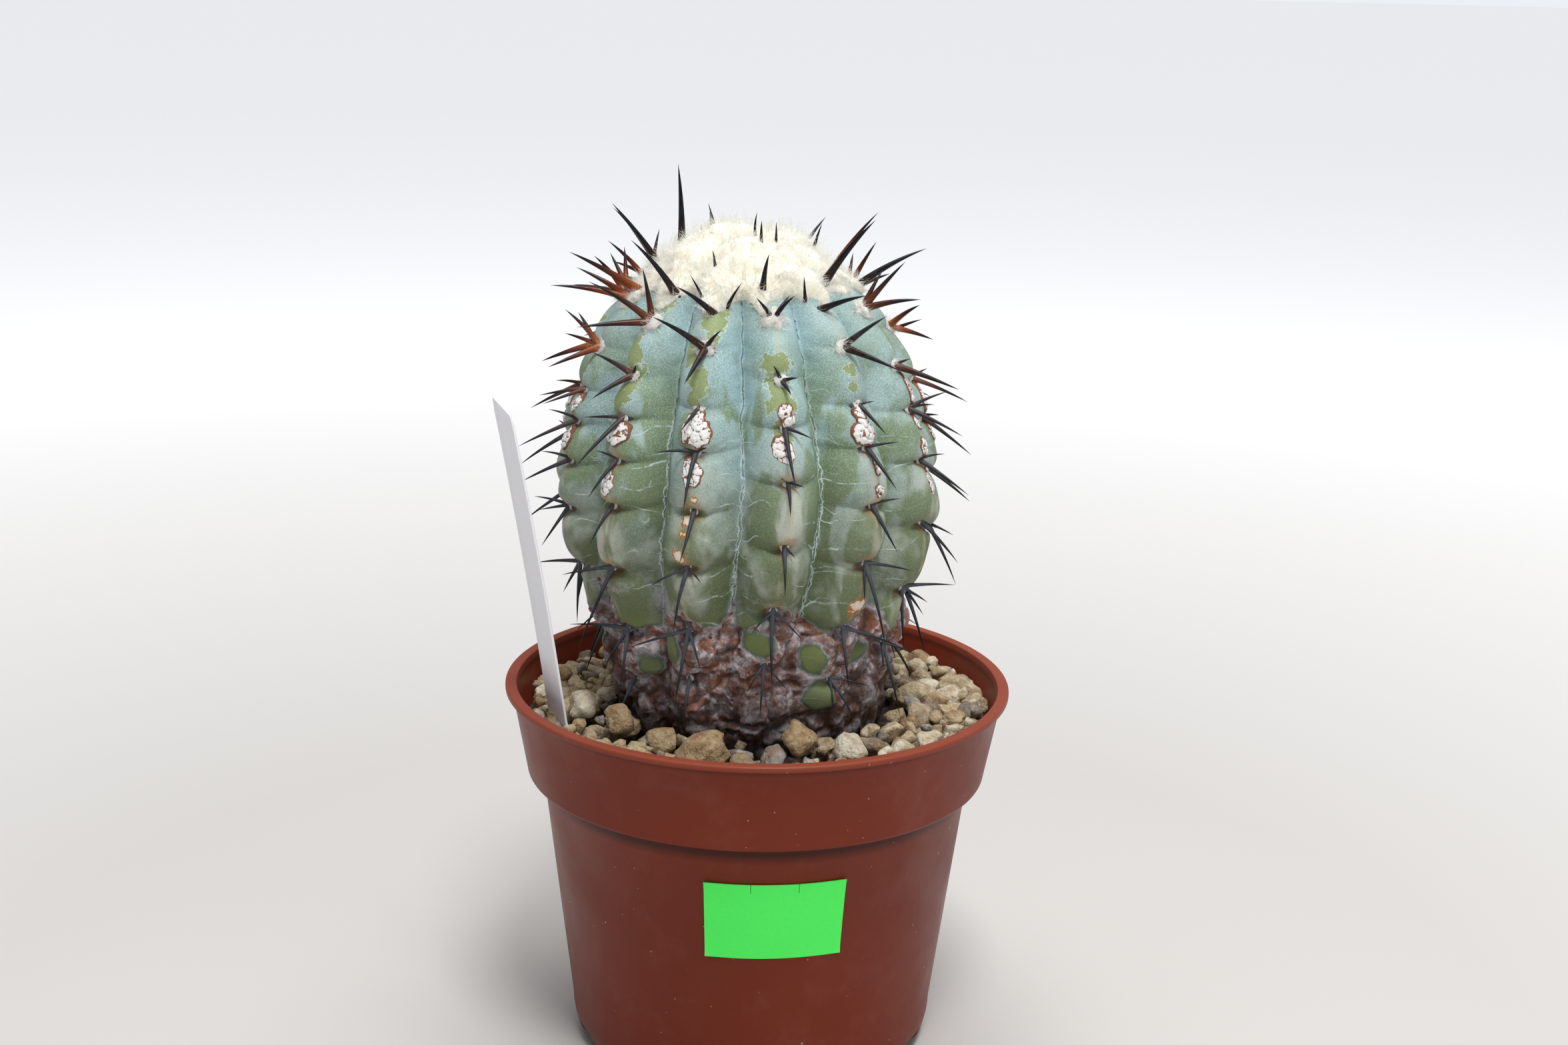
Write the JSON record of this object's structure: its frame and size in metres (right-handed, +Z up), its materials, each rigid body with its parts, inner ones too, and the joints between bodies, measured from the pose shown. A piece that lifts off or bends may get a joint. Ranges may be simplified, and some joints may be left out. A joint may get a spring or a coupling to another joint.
{
  "type": "potted copiapoa cactus",
  "caption": "Ribbed, spiny columnar cactus with a woolly crown, in a gravel-topped plastic pot with a blank plant label and a paper sticker.",
  "frame": {"origin": "middle of the pot's flat underside, on the surface it stands on", "axes": "+Z up along the pot's axis; -Y faces the pictured front, where the sticker is; +X to the right of that front"},
  "size_m": [0.121, 0.12, 0.21],
  "materials": {
    "pot_plastic": "brick-brown moulded polypropylene, satin, lightly dusty",
    "potting_soil": "dark loose mineral and peat mix",
    "gravel_stone": "cream, tan and grey river gravel, matte",
    "cactus_skin": "waxy blue-grey bloom over green skin, corky brown at the base, near-black spines",
    "wool": "cream woolly hairs",
    "label_plastic": "white plastic strip, blank",
    "green_paper": "fluorescent green paper, blank"
  },
  "bodies": {
    "root": {"pot": "pot_plastic", "soil": "potting_soil", "gravel": "gravel_stone", "cactus_stem": "cactus_skin", "crown_wool": "wool", "plant_label": "label_plastic", "paper_sticker": "green_paper"}
  },
  "joints": []
}
